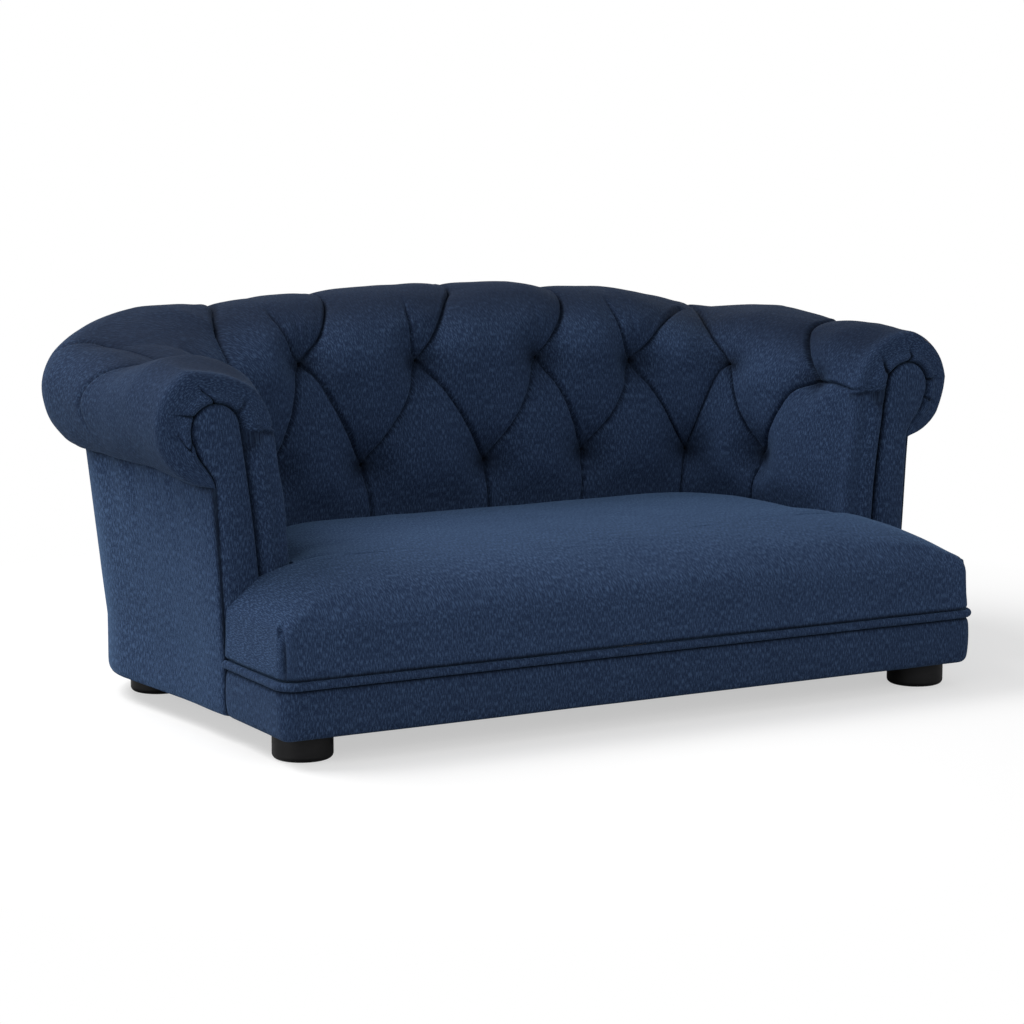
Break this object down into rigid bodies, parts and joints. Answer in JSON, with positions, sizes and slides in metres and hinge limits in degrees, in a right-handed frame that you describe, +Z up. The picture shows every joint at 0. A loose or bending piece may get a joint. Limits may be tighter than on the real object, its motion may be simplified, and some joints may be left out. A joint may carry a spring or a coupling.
{
  "type": "dog sofa",
  "caption": "Low upholstered dog sofa with a diamond-tufted wrap-around back, rolled arms with pleated fronts, a tight crowned seat, a welted base and round feet.",
  "frame": {"origin": "on the floor, under the middle of the sofa's bounding box", "axes": "+X along the length, to the right as seen from the front; +Y towards the rear; +Z up"},
  "size_m": [0.94, 0.574, 0.416],
  "materials": {
    "navy_fabric": "matt slubbed woven",
    "border_fabric": "matt slubbed woven",
    "pine": "sawn, unfinished",
    "plywood": "unfinished board",
    "zinc_steel": "zinc plated",
    "black_feet": "satin black",
    "dust_cloth": "thin black nonwoven"
  },
  "bodies": {
    "root": {"front_rail": "pine", "rear_rail": "pine", "left_side_rail": "pine", "right_side_rail": "pine", "centre_rails": "pine", "corner_blocks": "pine", "seat_deck": "plywood", "deck_screws": "zinc_steel", "back_board": "plywood", "left_arm_board": "plywood", "right_arm_board": "plywood", "left_corner_board": "plywood", "right_corner_board": "plywood", "left_front_board": "plywood", "right_front_board": "plywood", "foot_nuts": "zinc_steel", "foot_bolts": "zinc_steel", "front_left_foot": "black_feet", "front_right_foot": "black_feet", "rear_left_foot": "black_feet", "rear_right_foot": "black_feet", "seat_cushion": "navy_fabric", "front_border": "border_fabric", "welt": "border_fabric", "tufted_back": "navy_fabric", "left_tufted_arm": "navy_fabric", "right_tufted_arm": "navy_fabric", "left_roll_end": "navy_fabric", "right_roll_end": "navy_fabric", "left_facing": "navy_fabric", "right_facing": "navy_fabric", "left_outside_panel": "border_fabric", "right_outside_panel": "border_fabric", "outside_back_panel": "border_fabric", "dust_cover": "dust_cloth"}
  },
  "joints": []
}
